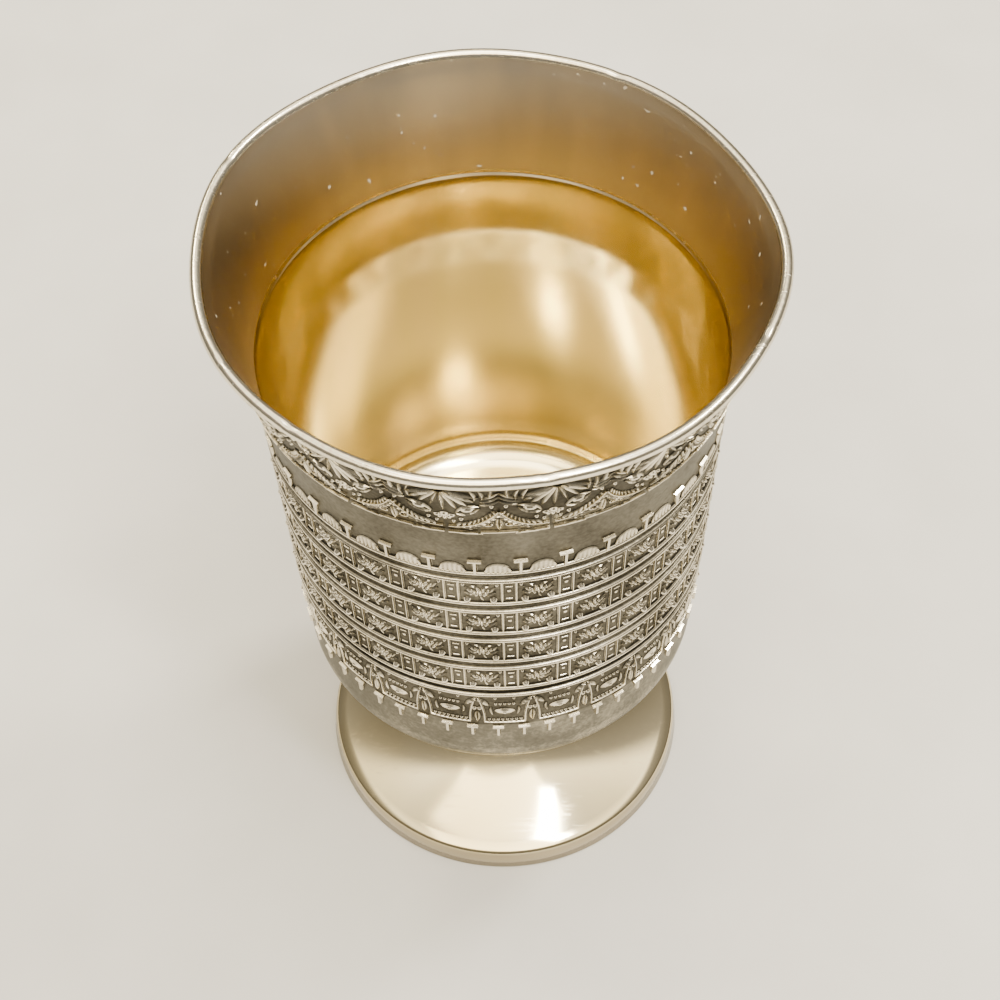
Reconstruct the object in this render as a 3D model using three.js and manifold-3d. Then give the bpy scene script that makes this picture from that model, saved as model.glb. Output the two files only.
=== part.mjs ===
// Footed silver wine cup: a flared, die-rolled beaker with a rolled rim and a gilt inside,
// soldered to a spun trumpet foot. Millimetres, +Z up, origin at the centre of the foot's underside.
// Azimuth 0 faces -Y and grows towards +X.
import * as THREE from "three";
import { mergeVertices } from "three/addons/utils/BufferGeometryUtils.js";
import Module from "manifold-3d";

// Overall sizes
const HEIGHT = 130;
const RIM_RADIUS = 43;
const BEAD_RADIUS = 0.9;

// Bowl wall: a slow taper with a flare towards the rim
const UNDERSIDE_Z = 38;
const FLOOR_THICKNESS = 1.2;
const CORNER_RADIUS = 7;
const WALL_BASE_RADIUS = 33.7;
const WALL_TAPER = 0.035;
const FLARE_START_Z = 95;
const FLARE_REACH = 5.7;
const FLARE_POWER = 2.2;
const FLARE_STEPS = 3;
const LIP_THICKNESS = 1.0;
const STEP_Z = 110;
const STEP_DEPTH = 0.45;

// The rim is knocked out of round: each lobe count has a radial amplitude and an azimuth of its high spot
const RIM_LOBES = [
  { count: 1, amplitude: 0.38, azimuth: -122 },
  { count: 2, amplitude: 0.53, azimuth: 50 },
  { count: 3, amplitude: 0.15, azimuth: -35 },
  { count: 4, amplitude: 0.14, azimuth: -14 },
  { count: 5, amplitude: 0.17, azimuth: 21 },
  { count: 7, amplitude: 0.22, azimuth: -16 },
];
const RIM_DENT_START_Z = 100;

// Ornament bands, from the rim down: each has a count, an azimuth for its first copy, and sizes on the wall
const LEAF = { count: 16, azimuth: 11, z: 117.5, width: 3, height: 6 };
const BUD = { count: 16, azimuth: 0, z: 116, width: 5, height: 2.6 };
const LEAF_EDGE_Z = 112;
const POST = { count: 34, azimuth: -5.3, width: 2, height: 3, stem: 0.7, bar: 0.6 };
const RING_PAIRS = 5;
const RING_TOP_Z = 97.6;
const RING_PITCH = 8.44;
const RING_GAP = 2.3;
const RING_HALF_WIDTH = 0.55;
const RING_RELIEF = 0.45;
const SPRIG = { count: 26, azimuth: 9, width: 4, height: 3 };
const CARTOUCHE = { count: 24, azimuth: 0, z: 58.6, width: 6.2, height: 5.4 };
const DROP = { count: 51, azimuth: -1.9, z: 52.2, width: 1.2, height: 2.8 };
const RELIEF = 0.35;
const BOSS_RELIEF = 0.6;
const ROOT = 0.5;

// One flat side to each post
const SIDES = POST.count;

// Foot: an upright edge band, a dished slope and a short stem
const FOOT_RADIUS = 33;
const FOOT_EDGE_RADIUS = 32.5;
const FOOT_EDGE_Z = 4;
const FOOT_SHOULDER = 0.5;
const SLOPE_CENTRE_RADIUS = 60;
const SLOPE_CENTRE_Z = 28;
const SLOPE_STEPS = 5;
const STEM_RADIUS = 8.5;
const STEM_TOP_Z = 33;
const COLLAR_RADIUS = 10.5;
const FOOT_THICKNESS = 1.0;
const FOOT_STANDING_WIDTH = 2;

const wasm = await Module();
wasm.setup();

const radians = THREE.MathUtils.degToRad;

// A closed geometry as a solid that can be joined and cut
function solidFrom(geometry) {
  const bare = geometry.clone();
  bare.deleteAttribute("normal");
  bare.deleteAttribute("uv");
  const merged = mergeVertices(bare, 1e-4);
  return new wasm.Manifold(
    new wasm.Mesh({
      numProp: 3,
      vertProperties: merged.attributes.position.array,
      triVerts: new Uint32Array(merged.index.array),
    }),
  );
}

function geometryFrom(solid) {
  const mesh = solid.getMesh();
  const geometry = new THREE.BufferGeometry();
  geometry.setAttribute("position", new THREE.BufferAttribute(mesh.vertProperties, 3));
  geometry.setIndex(new THREE.BufferAttribute(mesh.triVerts, 1));
  geometry.computeVertexNormals();
  return geometry;
}

// A profile of [radius, height] pairs turned about Z
function turned(profile) {
  const points = profile.map(([radius, height]) => new THREE.Vector2(radius, height));
  return new THREE.LatheGeometry(points, SIDES).rotateX(Math.PI / 2);
}

// Outside radius of the plain wall at a height
function wallRadius(z) {
  const flare = Math.max(0, (z - FLARE_START_Z) / (HEIGHT - FLARE_START_Z));
  const taper = WALL_TAPER * (z - UNDERSIDE_Z - CORNER_RADIUS);
  return WALL_BASE_RADIUS + taper + FLARE_REACH * flare ** FLARE_POWER;
}

function arc(centreRadius, centreZ, radius, fromDegrees, toDegrees, steps) {
  return Array.from({ length: steps + 1 }, (_, i) => {
    const angle = radians(fromDegrees + ((toDegrees - fromDegrees) * i) / steps);
    return [centreRadius + radius * Math.cos(angle), centreZ + radius * Math.sin(angle)];
  });
}

// One raised wire on the wall, as three points
function wire(z) {
  return [
    [wallRadius(z - RING_HALF_WIDTH), z - RING_HALF_WIDTH],
    [wallRadius(z) + RING_RELIEF, z],
    [wallRadius(z + RING_HALF_WIDTH), z + RING_HALF_WIDTH],
  ];
}

// Two raised wires with a groove between them
function ringPair(z) {
  const groove = z + RING_GAP / 2;
  return [
    ...wire(z).slice(0, 2),
    [wallRadius(groove), groove],
    ...wire(z + RING_GAP).slice(1),
  ];
}

function bowlOutside() {
  const cornerZ = UNDERSIDE_Z + CORNER_RADIUS;
  const rows = [
    [0, UNDERSIDE_Z],
    ...arc(wallRadius(cornerZ) - CORNER_RADIUS, cornerZ, CORNER_RADIUS, -90, 0, 4),
  ];
  for (let pair = RING_PAIRS - 1; pair >= 0; pair--) {
    rows.push(...ringPair(RING_TOP_Z - pair * RING_PITCH));
  }
  rows.push(...wire(LEAF_EDGE_Z));
  for (let i = 1; i <= FLARE_STEPS; i++) {
    const z = LEAF_EDGE_Z + ((HEIGHT - 2 * BEAD_RADIUS - LEAF_EDGE_Z) * i) / FLARE_STEPS;
    rows.push([wallRadius(z), z]);
  }
  return rows;
}

function bowlInside() {
  const lip = (z) => wallRadius(z) - LIP_THICKNESS;
  const floorZ = UNDERSIDE_Z + FLOOR_THICKNESS;
  const insideCorner = CORNER_RADIUS - FLOOR_THICKNESS;
  const cornerZ = floorZ + insideCorner;
  const lipRows = [0.7, 0.4].map((share) => {
    const z = STEP_Z + share * (HEIGHT - STEP_Z);
    return [lip(z), z];
  });
  const body = (z) => [lip(z) - STEP_DEPTH, z];
  const corner = arc(body(cornerZ)[0] - insideCorner, cornerZ, insideCorner, 0, -90, 3);
  return [
    ...lipRows,
    [lip(STEP_Z), STEP_Z],
    body(STEP_Z),
    body(FLARE_START_Z),
    ...corner,
    [0, floorZ],
  ];
}

// Radial knock of the rim at an azimuth, fading in from RIM_DENT_START_Z up to the rim
function rimKnock(azimuth, z) {
  const share = Math.max(0, (z - RIM_DENT_START_Z) / (HEIGHT - RIM_DENT_START_Z));
  const wave = RIM_LOBES.reduce(
    (sum, lobe) => sum + lobe.amplitude * Math.cos(lobe.count * (azimuth - radians(lobe.azimuth))),
    0,
  );
  return wave * share * share;
}

function knockRim(geometry) {
  const position = geometry.attributes.position;
  for (let i = 0; i < position.count; i++) {
    const [x, y, z] = [position.getX(i), position.getY(i), position.getZ(i)];
    const radius = Math.hypot(x, y);
    if (radius < LIP_THICKNESS || z <= RIM_DENT_START_Z) continue;
    const scale = (radius + rimKnock(Math.atan2(x, -y), z)) / radius;
    position.setXYZ(i, x * scale, y * scale, z);
  }
  return geometry;
}

function plainBowl() {
  const beadCentre = RIM_RADIUS - BEAD_RADIUS;
  const bead = arc(beadCentre, HEIGHT - BEAD_RADIUS, BEAD_RADIUS, -45, 180, 5);
  return solidFrom(knockRim(turned([...bowlOutside(), ...bead, ...bowlInside()])));
}

// Sets a geometry made flat (X along the band, Y up the wall, Z outwards) on the wall
function onWall(geometry, azimuthDegrees, z) {
  const azimuth = radians(azimuthDegrees);
  const step = 0.5;
  const lean = Math.atan((wallRadius(z + step) - wallRadius(z - step)) / (2 * step));
  const radius = wallRadius(z) + rimKnock(azimuth, z);
  return geometry
    .rotateX(Math.PI / 2 + lean)
    .translate(0, -radius, z)
    .rotateZ(azimuth);
}

// A raised flat T that stands on its stem
function tee({ width, height, stem, bar }) {
  const [w, s, b] = [width / 2, stem / 2, height - bar];
  const outline = [[-s, 0], [s, 0], [s, b], [w, b], [w, height], [-w, height], [-w, b], [-s, b]];
  const shape = new THREE.Shape(outline.map(([x, y]) => new THREE.Vector2(x, y)));
  const options = { depth: RELIEF + ROOT, bevelEnabled: false };
  return new THREE.ExtrudeGeometry(shape, options).translate(0, 0, -ROOT);
}

// A low four-sided boss, pointed outwards, that measures width by height where it leaves the wall
function boss({ width, height }) {
  const tall = BOSS_RELIEF + ROOT;
  const spread = tall / BOSS_RELIEF / 2;
  const point = new THREE.ConeGeometry(1, tall, 4).rotateX(Math.PI / 2);
  return point.scale(width * spread, height * spread, 1).translate(0, 0, tall / 2 - ROOT);
}

// Copies of one ornament round the wall at a height
function band(ornament, z, make) {
  return Array.from({ length: ornament.count }, (_, i) =>
    solidFrom(onWall(make(ornament), ornament.azimuth + (360 * i) / ornament.count, z)),
  );
}

function ornaments() {
  const pieces = [LEAF, BUD, CARTOUCHE, DROP].flatMap((ornament) => band(ornament, ornament.z, boss));
  pieces.push(...band(POST, RING_TOP_Z + RING_GAP + RING_HALF_WIDTH / 2, tee));
  for (let row = 1; row < RING_PAIRS; row++) {
    const panelFoot = RING_TOP_Z - row * RING_PITCH + RING_GAP;
    pieces.push(...band(SPRIG, panelFoot + (RING_PITCH - RING_GAP) / 2, boss));
  }
  return pieces;
}

function bowlGeometry() {
  return geometryFrom(ornaments().reduce((bowl, piece) => bowl.add(piece), plainBowl()));
}

// The foot's slope: a quarter ellipse from the stem out to the edge, moved inwards by a thickness
function slope(thickness) {
  const wide = SLOPE_CENTRE_RADIUS - STEM_RADIUS;
  const edge = Math.acos((SLOPE_CENTRE_RADIUS - FOOT_EDGE_RADIUS + FOOT_SHOULDER) / wide);
  const tall = (SLOPE_CENTRE_Z - FOOT_EDGE_Z - FOOT_SHOULDER) / Math.sin(edge);
  return Array.from({ length: SLOPE_STEPS + 1 }, (_, i) => {
    const angle = edge * (1 - i / SLOPE_STEPS);
    const normal = new THREE.Vector2(Math.cos(angle) / wide, Math.sin(angle) / tall).normalize();
    return [
      SLOPE_CENTRE_RADIUS - wide * Math.cos(angle) - thickness * normal.x,
      SLOPE_CENTRE_Z - tall * Math.sin(angle) - thickness * normal.y,
    ];
  });
}

function footGeometry() {
  const standing = FOOT_RADIUS - FOOT_STANDING_WIDTH;
  const inner = slope(FOOT_THICKNESS).filter(([radius]) => radius < standing).reverse();
  const profile = [
    [FOOT_RADIUS, 0],
    [FOOT_EDGE_RADIUS, FOOT_EDGE_Z],
    ...slope(0),
    [STEM_RADIUS, STEM_TOP_Z],
    [COLLAR_RADIUS, UNDERSIDE_Z],
    [COLLAR_RADIUS - FOOT_THICKNESS, UNDERSIDE_Z],
    [STEM_RADIUS - FOOT_THICKNESS, STEM_TOP_Z],
    ...inner,
    [standing, FOOT_EDGE_Z - FOOT_SHOULDER],
    [standing, 0],
    [FOOT_RADIUS, 0],
  ];
  return geometryFrom(solidFrom(turned(profile)));
}

function piece(name, geometry, colour, roughness) {
  const material = new THREE.MeshStandardMaterial({ color: colour, metalness: 1, roughness });
  const mesh = new THREE.Mesh(geometry, material);
  mesh.name = name;
  return mesh;
}

const cup = new THREE.Group();
cup.add(piece("bowl", bowlGeometry(), 0xb9b4a6, 0.35));
cup.add(piece("foot", footGeometry(), 0xd8d0bd, 0.2));

export default cup;
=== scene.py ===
# %% [markdown]
# # A footed silver wine cup
# The cup is a flared beaker on a spun trumpet foot. Bands of ornament are rolled into the beaker's wall,
# its rim is a bright rolled bead, and its inside is gilded. This lesson turns the two plain bodies from
# profiles, wraps flat ornament round the wall with Geometry Nodes, and ages the metal with shader groups.
# The cup's sizes are in millimetres and become metres where a mesh is made. The camera, the finishes and the
# lights are given in metres.

# %% Load the solid model as a fixed frame
import math

import bmesh
import bpy
from mathutils import Matrix, Vector


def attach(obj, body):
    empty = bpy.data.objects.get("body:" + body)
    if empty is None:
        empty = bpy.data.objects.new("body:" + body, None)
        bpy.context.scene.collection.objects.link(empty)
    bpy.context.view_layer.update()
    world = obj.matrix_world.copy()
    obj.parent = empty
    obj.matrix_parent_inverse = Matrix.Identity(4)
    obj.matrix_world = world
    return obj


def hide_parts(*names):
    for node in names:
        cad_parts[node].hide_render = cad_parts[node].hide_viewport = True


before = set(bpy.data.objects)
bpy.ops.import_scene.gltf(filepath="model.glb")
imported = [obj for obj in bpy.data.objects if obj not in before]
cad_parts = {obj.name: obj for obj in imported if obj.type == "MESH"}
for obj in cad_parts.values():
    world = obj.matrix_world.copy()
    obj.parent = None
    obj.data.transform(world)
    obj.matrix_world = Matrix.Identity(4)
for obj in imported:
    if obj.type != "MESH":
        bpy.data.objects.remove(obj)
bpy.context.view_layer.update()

MM = 0.001
# Heights of the rim and of the step inside it
HEIGHT = 130.0
STEP_Z = 110.0


def new_object(name, data):
    """A new object in the scene."""
    made = bpy.data.objects.new(name, data)
    bpy.context.collection.objects.link(made)
    return made


# %% [markdown]
# ## The camera
# The picture looks steeply down into the cup, a little off level. The eye point and the three angles were
# fitted to the ellipses of the rim, the rings and the foot, so the same ellipses fall on the same pixels.
# A camera could also be aimed with a Track To constraint, but building its matrix keeps the small roll.

# %% Camera
EYE = Vector((0.0, -0.19969, 0.33776))
PITCH_DOWN = math.radians(53.332)
YAW = math.radians(0.113)
ROLL = math.radians(-1.864)
LENS_MM = 72
SENSOR_MM = 36

forward = Vector((
    math.sin(YAW) * math.cos(PITCH_DOWN),
    math.cos(YAW) * math.cos(PITCH_DOWN),
    -math.sin(PITCH_DOWN),
))
level_right = forward.cross(Vector((0, 0, 1))).normalized()
level_up = level_right.cross(forward)
right = math.cos(ROLL) * level_right + math.sin(ROLL) * level_up
up = right.cross(forward)

camera_data = bpy.data.cameras.new("camera")
camera_data.lens = LENS_MM
camera_data.sensor_width = SENSOR_MM
camera_data.clip_start = 0.01
camera = new_object("camera", camera_data)
camera.matrix_world = Matrix.Translation(EYE) @ Matrix((right, up, -forward)).transposed().to_4x4()
bpy.context.scene.camera = camera
bpy.context.scene.view_settings.look = "AgX - Medium High Contrast"
print("camera looks down", round(math.degrees(PITCH_DOWN), 1), "degrees")

# %% [markdown]
# ## Small helpers for node trees
# Shader trees and geometry trees are both built from nodes and links. The helpers add a node, set its
# properties, and fill each input with either a plain value or a link, so that a tree reads top to bottom.

# %% Node helpers
def fill(tree, node, inputs):
    """Gives a node's inputs, found by name or number, a value or another node's socket."""
    for key, value in inputs.items():
        if isinstance(value, bpy.types.NodeSocket):
            tree.links.new(value, node.inputs[key])
        else:
            node.inputs[key].default_value = value


def add(tree, kind, inputs=None, **settings):
    """Adds a node with its settings and inputs."""
    made = tree.nodes.new(kind)
    for key, value in settings.items():
        setattr(made, key, value)
    fill(tree, made, inputs or {})
    return made


def calc(tree, operation, *values):
    """A Math node's result."""
    return add(tree, "ShaderNodeMath", dict(enumerate(values)), operation=operation).outputs[0]


def spread(tree, value, low, high, start=0.0, end=1.0):
    """Maps a value from start..end to low..high."""
    made = add(tree, "ShaderNodeMapRange", {
        "Value": value, "From Min": start, "From Max": end, "To Min": low, "To Max": high})
    return made.outputs["Result"]


def axes(tree, vector):
    """A vector's parts, by the names X, Y and Z."""
    return add(tree, "ShaderNodeSeparateXYZ", {"Vector": vector}).outputs


def joined(tree, parts):
    """A vector from the parts that are given."""
    return add(tree, "ShaderNodeCombineXYZ", parts).outputs[0]


def new_group(kind, name, inputs, outputs):
    """A node group with named sockets: its tree, what it is given, and its output node."""
    tree = bpy.data.node_groups.new(name, kind)
    for label, socket in inputs:
        tree.interface.new_socket(name=label, in_out="INPUT", socket_type=socket)
    for label, socket in outputs:
        tree.interface.new_socket(name=label, in_out="OUTPUT", socket_type=socket)
    return tree, tree.nodes.new("NodeGroupInput").outputs, tree.nodes.new("NodeGroupOutput")


# %% [markdown]
# ## Age, built once and shared
# Real silver is never one colour. It has soft clouds where hands and polish have been, and hair-fine
# scratches in all directions. Both are shader groups, because several finishes use them at different
# strengths. The groups put out only masks, and each material decides what a mask does.

# %% Shader group: soft clouds
FLOAT = "NodeSocketFloat"
VECTOR = "NodeSocketVector"
CLOUD_EDGES = (0.35, 0.65)

clouds, given, result = new_group(
    "ShaderNodeTree", "soft_clouds",
    [("Vector", VECTOR), ("Scale", FLOAT), ("Detail", FLOAT), ("Low", FLOAT), ("High", FLOAT)],
    [("Mask", FLOAT)])
cloud_noise = add(clouds, "ShaderNodeTexNoise", {
    "Vector": given["Vector"], "Scale": given["Scale"], "Detail": given["Detail"]})
mask = spread(clouds, cloud_noise.outputs["Fac"], given["Low"], given["High"], *CLOUD_EDGES)
fill(clouds, result, {"Mask": mask})

# %% Shader group: hair scratches
SCRATCH_TURNS = [(0.4, 0.2, 0.9), (1.2, 0.7, 0.1), (0.1, 1.4, 2.2)]
SCRATCH_STRETCH = (1.0, 26.0, 26.0)
SCRATCH_EDGES = (0.66, 0.74)

scratches, given, result = new_group(
    "ShaderNodeTree", "hair_scratches", [("Vector", VECTOR), ("Scale", FLOAT)], [("Mask", FLOAT)])
lines = []
for turn in SCRATCH_TURNS:
    laid = add(scratches, "ShaderNodeMapping", {
        "Vector": given["Vector"], "Rotation": turn, "Scale": SCRATCH_STRETCH})
    streak = add(scratches, "ShaderNodeTexNoise", {
        "Vector": laid.outputs["Vector"], "Scale": given["Scale"], "Detail": 1.0})
    lines.append(spread(scratches, streak.outputs["Fac"], 0.0, 1.0, *SCRATCH_EDGES))
both = calc(scratches, "MAXIMUM", lines[0], lines[1])
fill(scratches, result, {"Mask": calc(scratches, "MAXIMUM", both, lines[2])})
print("shader groups:", clouds.name, scratches.name)


# %% A fresh finish and ways to fill it
def new_finish(name, metallic=1.0):
    """A material with its node tree, its Principled shader and its Object coordinates."""
    material = bpy.data.materials.new(name)
    material.use_nodes = True
    tree = material.node_tree
    shader = tree.nodes["Principled BSDF"]
    shader.inputs["Metallic"].default_value = metallic
    place = add(tree, "ShaderNodeTexCoord").outputs["Object"]
    return material, tree, shader, place


def use_group(tree, group, inputs):
    """Places a shader group in a material and gives its mask."""
    return add(tree, "ShaderNodeGroup", inputs, node_tree=group).outputs[0]


def mixed(tree, share, below, above):
    """A colour that goes from one to another by a share."""
    return add(tree, "ShaderNodeMix", {"Factor": share, 6: below, 7: above}, data_type="RGBA").outputs[2]


def ramp(tree, value, stops):
    """A Color Ramp from (position, (r, g, b)) stops."""
    made = add(tree, "ShaderNodeValToRGB", {"Fac": value})
    elements = made.color_ramp.elements
    for element, (position, colour) in ((elements[0], stops[0]), (elements[1], stops[-1])):
        element.position = position
        element.color = (*colour, 1.0)
    for position, colour in stops[1:-1]:
        elements.new(position).color = (*colour, 1.0)
    return made.outputs["Color"]


# %% [markdown]
# ## Chased silver: the outside of the beaker
# Rolled silver is bright where it stands proud, because hands and cloths reach it, and dark in the grounds,
# where tarnish stays and where shade falls: the dark grounds are partly tarnish and partly painted shade.
# The meshes carry an attribute named recess, 0 on a crest and 1 at the bottom of a groove. One ramp turns it
# into colour, with painted shade at its dark end, and one range into roughness. A bump-only pattern would be
# cheaper, but it would leave nothing in the mesh itself.

# %% Chased silver
# Colours by recess, from bright crests to dark grounds; the dark end is partly tarnish and partly painted
# shade
SILVER_STOPS = [
    (0.0, (0.93, 0.87, 0.73)),
    (0.2, (0.68, 0.625, 0.50)),
    (0.5, (0.25, 0.236, 0.198)),
    (0.78, (0.108, 0.099, 0.079)),
    (1.0, (0.03, 0.026, 0.018)),
]
TARNISHED_EDGE = (0.66, 0.655, 0.64, 1)

chased, tree, shader, place = new_finish("chased_silver")
# The recess darkens every hollow of the relief: partly tarnish, partly painted shade
recess = add(tree, "ShaderNodeAttribute", attribute_name="recess").outputs["Fac"]
stain = use_group(tree, clouds, {
    "Vector": place, "Scale": 110.0, "Detail": 4.0, "Low": -0.09, "High": 0.09})
speckle = use_group(tree, clouds, {
    "Vector": place, "Scale": 1500.0, "Detail": 2.0, "Low": -0.05, "High": 0.05})
marks = use_group(tree, scratches, {"Vector": place, "Scale": 60.0})
depth = calc(tree, "ADD", calc(tree, "ADD", recess, stain), speckle)
dull_marks = calc(tree, "MULTIPLY", marks, 0.1)
pits = calc(tree, "MULTIPLY", speckle, 2.0)
cuts = calc(tree, "MULTIPLY", marks, -0.4)
grain = calc(tree, "ADD", pits, cuts)
bump = add(tree, "ShaderNodeBump", {"Height": grain, "Strength": 0.25, "Distance": 0.00006})
fill(tree, shader, {
    "Base Color": ramp(tree, depth, SILVER_STOPS),
    "Specular Tint": TARNISHED_EDGE,
    "Roughness": calc(tree, "ADD", spread(tree, depth, 0.20, 0.40), dull_marks),
    "Normal": bump.outputs["Normal"]})
print("finish:", chased.name)

# %% [markdown]
# ## Polished silver: the foot
# The foot has no ornament, so it was buffed to a mirror and has only wear: a slow change in tone, scratches,
# and a duller, browner edge band where fingers hold it and where it meets the table. The stem is tarnished
# towards its collar, because no cloth reaches far under the beaker. Masks by height place both, where a
# painted texture would need unwrapping.

# %% Polished silver
EDGE_BAND_TOP = 0.0042
EDGE_WEAR = (0.56, 0.49, 0.36, 1)
EDGE_FADE = 0.0006
STEM_FOOT = 0.019
STEM_FADE = 0.010
STEM_TARNISH = (0.27, 0.235, 0.17, 1)

polished, tree, shader, place = new_finish("polished_silver")
height = axes(tree, place)["Z"]
tone = use_group(tree, clouds, {"Vector": place, "Scale": 45.0, "Detail": 2.0, "Low": 0.0, "High": 1.0})
marks = use_group(tree, scratches, {"Vector": place, "Scale": 55.0})
buffed = ramp(tree, tone, [(0.0, (0.69, 0.60, 0.40)), (1.0, (0.79, 0.705, 0.505))])
on_edge = spread(tree, height, 1.0, 0.0, EDGE_BAND_TOP - EDGE_FADE, EDGE_BAND_TOP)
on_stem = spread(tree, height, 0.0, 1.0, STEM_FOOT, STEM_FOOT + STEM_FADE)
worn = mixed(tree, on_edge, buffed, EDGE_WEAR)
dull_marks = calc(tree, "MULTIPLY", marks, 0.05)
dull_stem = calc(tree, "MULTIPLY", on_stem, 0.12)
dullness = calc(tree, "ADD", spread(tree, tone, 0.16, 0.10), dull_marks)
bump = add(tree, "ShaderNodeBump", {"Height": tone, "Strength": 0.05, "Distance": 0.0001})
fill(tree, shader, {
    "Base Color": mixed(tree, on_stem, worn, STEM_TARNISH),
    "Roughness": calc(tree, "ADD", dullness, dull_stem),
    "Normal": bump.outputs["Normal"]})
print("finish:", polished.name)

# %% [markdown]
# ## Gilding: the inside of the beaker
# Thin gold over silver is yellow where it is whole and pinkish-brown on the lip, where drinking and washing
# have worn it. Polishing leaves streaks that run down the wall, and dust sits on the lip. Gilding has no
# thickness to speak of, so it is a second finish on the same body and not a lining.

# %% Gilding
GILT_STOPS = [
    (0.0, (0.81, 0.715, 0.45)),
    (0.45, (0.75, 0.68, 0.485)),
    (0.765, (0.72, 0.655, 0.47)),
    (0.785, (0.63, 0.572, 0.485)),
    (1.0, (0.66, 0.60, 0.515)),
]
BOWL_FLOOR = 0.039
LIP_FADE = 0.001
WORN_GILT = (0.80, 0.70, 0.55, 1)
STREAK_STRETCH = (1.0, 1.0, 0.05)
DUST = (0.86, 0.82, 0.74, 1)
DUST_EDGES = (0.80, 0.84)

gilt, tree, shader, place = new_finish("gilding")
height = axes(tree, place)["Z"]
gold = ramp(tree, spread(tree, height, 0.0, 1.0, BOWL_FLOOR, HEIGHT * MM), GILT_STOPS)
on_lip = spread(tree, height, 0.0, 1.0, STEP_Z * MM, STEP_Z * MM + LIP_FADE)
hung = add(tree, "ShaderNodeMapping", {"Vector": place, "Scale": STREAK_STRETCH}).outputs["Vector"]
streaks = use_group(tree, clouds, {
    "Vector": hung, "Scale": 160.0, "Detail": 1.0, "Low": 0.0, "High": 0.5})
patches = use_group(tree, clouds, {
    "Vector": place, "Scale": 40.0, "Detail": 0.0, "Low": 0.0, "High": 1.0})
specks = add(tree, "ShaderNodeTexNoise", {"Vector": place, "Scale": 1100.0, "Detail": 0.0}).outputs["Fac"]
dust = calc(tree, "MULTIPLY", spread(tree, specks, 0.0, 0.5, *DUST_EDGES), on_lip)
worn = mixed(tree, calc(tree, "MULTIPLY", streaks, patches), gold, WORN_GILT)
dull_lip = calc(tree, "MULTIPLY", on_lip, 0.16)
dullness = calc(tree, "ADD", spread(tree, patches, 0.14, 0.19), dull_lip)
bump = add(tree, "ShaderNodeBump", {"Height": streaks, "Strength": 0.06, "Distance": 0.0001})
fill(tree, shader, {
    "Base Color": mixed(tree, dust, worn, DUST),
    "Roughness": calc(tree, "ADD", dullness, dust),
    "Normal": bump.outputs["Normal"]})
print("finish:", gilt.name)

# %% [markdown]
# ## The wall's rule
# The beaker's wall tapers slowly and flares towards the rim, and use has knocked the rim out of round. One
# rule gives the wall's radius at any height and azimuth, with azimuth 0 at the front. The turned body and
# every ornament use it, so that the ornament sits on the wall exactly.

# %% Wall sizes and rule
RIM_RADIUS = 43.0
BEAD_RADIUS = 0.9
UNDERSIDE_Z = 38.0
CORNER_RADIUS = 7.0
WALL_BASE_RADIUS = 33.7
WALL_TAPER = 0.035
FLARE_START_Z = 95.0
FLARE_REACH = 5.7
FLARE_POWER = 2.2
# Lobes of the knocked rim: count, reach and azimuth of the first crest
RIM_LOBES = [
    (1, 0.38, -122.0),
    (2, 0.53, 50.0),
    (3, 0.15, -35.0),
    (4, 0.14, -14.0),
    (5, 0.17, 21.0),
    (7, 0.22, -16.0),
]
RIM_DENT_START_Z = 100.0


def wall_radius(z):
    """Outside radius of the plain wall at a height."""
    flare = max(0.0, (z - FLARE_START_Z) / (HEIGHT - FLARE_START_Z))
    taper = WALL_TAPER * (z - UNDERSIDE_Z - CORNER_RADIUS)
    return WALL_BASE_RADIUS + taper + FLARE_REACH * flare ** FLARE_POWER


def rim_knock(azimuth, z):
    """How far the rim is knocked out at an azimuth, fading in towards the rim."""
    share = max(0.0, (z - RIM_DENT_START_Z) / (HEIGHT - RIM_DENT_START_Z))
    wave = sum(reach * math.cos(count * (azimuth - math.radians(at))) for count, reach, at in RIM_LOBES)
    return wave * share * share


print("wall radius at the foot of the wall and the rim:",
      [round(wall_radius(z), 2) for z in (UNDERSIDE_Z + CORNER_RADIUS, HEIGHT)])


# %% [markdown]
# ## Turning a body
# Both bodies are round sheet metal, so both are turned here from a profile. Each row of the profile
# holds a radius, a height, a recess and a finish. A Screw modifier would turn a curve too, but it could not
# carry the recess or dent the rim on the way.

# %% Turn a profile
def turned(name, profile, columns, materials, shape=None):
    """Turns (radius, height, recess, finish) rows about Z into a closed mesh object."""
    points = []
    recess_values = []
    faces = []
    finishes = []
    rings = []
    for radius, z, depth, finish in profile:
        first = len(points)
        count = 1 if radius == 0 else columns
        for i in range(count):
            azimuth = 2 * math.pi * i / columns
            r, height_now = shape(azimuth, radius, z) if shape and radius > 0 else (radius, z)
            points.append((r * math.sin(azimuth) * MM, -r * math.cos(azimuth) * MM, height_now * MM))
            recess_values.append(depth)
        rings.append((first, count, finish))
    for (low, low_count, _), (high, high_count, finish) in zip(rings, rings[1:]):
        for i in range(columns):
            j = (i + 1) % columns
            corners = [low + i % low_count, low + j % low_count, high + j % high_count, high + i % high_count]
            faces.append(list(dict.fromkeys(corners)))
            finishes.append(finish)
    if profile[0][0] > 0:
        low, high = rings[-1][0], rings[0][0]
        for i in range(columns):
            j = (i + 1) % columns
            faces.append([low + i, low + j, high + j, high + i])
            finishes.append(profile[0][3])
    mesh = bpy.data.meshes.new(name)
    mesh.from_pydata(points, [], faces)
    mesh.polygons.foreach_set("material_index", finishes)
    mesh.polygons.foreach_set("use_smooth", [True] * len(faces))
    mesh.attributes.new("recess", "FLOAT", "POINT").data.foreach_set("value", recess_values)
    for material in materials:
        mesh.materials.append(material)
    mesh.update()
    print(name, len(points), "points", len(faces), "faces")
    return new_object(name, mesh)


def arc(centre_radius, centre_z, radius, start, end, steps):
    """Points on an arc, in degrees from the outward direction."""
    angles = [math.radians(start + (end - start) * i / steps) for i in range(steps + 1)]
    return [(centre_radius + radius * math.cos(a), centre_z + radius * math.sin(a)) for a in angles]


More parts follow.
